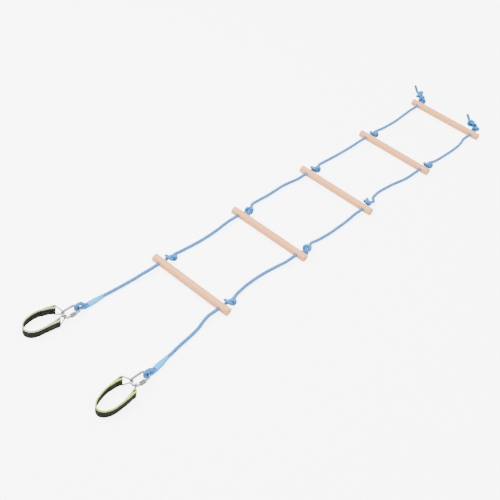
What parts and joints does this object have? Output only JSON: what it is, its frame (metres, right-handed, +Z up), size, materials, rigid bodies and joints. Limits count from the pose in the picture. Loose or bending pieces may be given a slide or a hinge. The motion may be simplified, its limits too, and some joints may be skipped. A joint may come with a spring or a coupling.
{
  "type": "rope ladder",
  "caption": "Rope ladder with turned wooden rungs held by knots on two ropes; each rope ends in a sleeved eye, a screw link and a webbing hanging strap.",
  "frame": {"origin": "on the floor, under the middle of the box round the rungs, links and straps", "axes": "+X along the rungs, +Y along the ladder from the straps to the rope tails, +Z up off the floor"},
  "size_m": [0.4648, 2.3465, 0.0451],
  "materials": {
    "wood": "sanded, lightly oiled",
    "rope": "braided polypropylene",
    "sleeve": "shrunk tubing, satin",
    "steel": "bright zinc plate",
    "webbing": "woven webbing with a pale green edge"
  },
  "bodies": {
    "station_1": {"rope_left_1_in": "rope", "knot_left_1": "rope", "rope_left_1_out": "rope", "rope_right_1_in": "rope", "knot_right_1": "rope", "rope_right_1_out": "rope"},
    "rung_1": {"rung_1": "wood"},
    "station_2": {"rope_left_2_in": "rope", "knot_left_2": "rope", "rope_left_2_out": "rope", "rope_right_2_in": "rope", "knot_right_2": "rope", "rope_right_2_out": "rope"},
    "rung_2": {"rung_2": "wood"},
    "station_3": {"rope_left_3_in": "rope", "knot_left_3": "rope", "rope_left_3_out": "rope", "rope_right_3_in": "rope", "knot_right_3": "rope", "rope_right_3_out": "rope"},
    "rung_3": {"rung_3": "wood"},
    "station_4": {"rope_left_4_in": "rope", "knot_left_4": "rope", "rope_left_4_out": "rope", "rope_right_4_in": "rope", "knot_right_4": "rope", "rope_right_4_out": "rope"},
    "rung_4": {"rung_4": "wood"},
    "station_5": {"rope_left_5_in": "rope", "knot_left_5": "rope", "rope_left_tail": "rope", "rope_right_5_in": "rope", "knot_right_5": "rope", "rope_right_tail": "rope"},
    "rung_5": {"rung_5": "wood"},
    "lead_left": {"lead_rope_left": "rope", "sleeve_left": "sleeve"},
    "link_left": {"link_left": "steel"},
    "gate_left": {"gate_nut_left": "steel"},
    "hanger_left": {"ring_left_outer": "steel", "ring_left_inner": "steel", "strap_left": "webbing"},
    "lead_right": {"lead_rope_right": "rope", "sleeve_right": "sleeve"},
    "link_right": {"link_right": "steel"},
    "gate_right": {"gate_nut_right": "steel"},
    "hanger_right": {"ring_right_outer": "steel", "ring_right_inner": "steel", "strap_right": "webbing"}
  },
  "joints": [
    {"name": "fold_1", "type": "hinge", "parent": "station_1", "child": "station_2", "pos_m": [0, -0.33135, 0.0142], "axis": [1, 0, 0], "range_deg": [0, 70]},
    {"name": "fold_2", "type": "hinge", "parent": "station_2", "child": "station_3", "pos_m": [0, 0.08415, 0.0142], "axis": [1, 0, 0], "range_deg": [0, 70]},
    {"name": "fold_3", "type": "hinge", "parent": "station_3", "child": "station_4", "pos_m": [0, 0.49965, 0.0142], "axis": [1, 0, 0], "range_deg": [0, 70]},
    {"name": "fold_4", "type": "hinge", "parent": "station_4", "child": "station_5", "pos_m": [0, 0.91515, 0.0142], "axis": [1, 0, 0], "range_deg": [0, 70]},
    {"name": "rung_1_slide", "type": "slide", "parent": "station_1", "child": "rung_1", "axis": [0, -1, 0], "range_m": [0, 0.04]},
    {"name": "rung_2_slide", "type": "slide", "parent": "station_2", "child": "rung_2", "axis": [0, -1, 0], "range_m": [0, 0.04]},
    {"name": "rung_3_slide", "type": "slide", "parent": "station_3", "child": "rung_3", "axis": [0, -1, 0], "range_m": [0, 0.04]},
    {"name": "rung_4_slide", "type": "slide", "parent": "station_4", "child": "rung_4", "axis": [0, -1, 0], "range_m": [0, 0.04]},
    {"name": "rung_5_slide", "type": "slide", "parent": "station_5", "child": "rung_5", "axis": [0, -1, 0], "range_m": [0, 0.04]},
    {"name": "lead_swing_left", "type": "hinge", "parent": "station_1", "child": "lead_left", "pos_m": [-0.1477, -0.6141, 0.0226], "axis": [-1, 0, 0], "range_deg": [0, 90]},
    {"name": "link_swing_left", "type": "hinge", "parent": "lead_left", "child": "link_left", "pos_m": [-0.1632, -0.9031, 0.0227], "axis": [-1, 0, 0], "range_deg": [0, 90]},
    {"name": "gate_slide_left", "type": "slide", "parent": "link_left", "child": "gate_left", "axis": [0, 1, 0], "range_m": [0, 0.012]},
    {"name": "hanger_swing_left", "type": "hinge", "parent": "link_left", "child": "hanger_left", "pos_m": [-0.16772, -0.96097, 0.0227], "axis": [-0.9399, 0.3414, 0], "range_deg": [0, 35]},
    {"name": "lead_swing_right", "type": "hinge", "parent": "station_1", "child": "lead_right", "pos_m": [0.1383, -0.6141, 0.0226], "axis": [-1, 0, 0], "range_deg": [0, 90]},
    {"name": "link_swing_right", "type": "hinge", "parent": "lead_right", "child": "link_right", "pos_m": [0.1883, -0.9301, 0.0227], "axis": [-1, 0, 0], "range_deg": [0, 90]},
    {"name": "gate_slide_right", "type": "slide", "parent": "link_right", "child": "gate_right", "axis": [0, 1, 0], "range_m": [0, 0.012]},
    {"name": "hanger_swing_right", "type": "hinge", "parent": "link_right", "child": "hanger_right", "pos_m": [0.1878, -0.9886, 0.0227], "axis": [-0.9992, 0.0391, 0], "range_deg": [0, 35]}
  ]
}
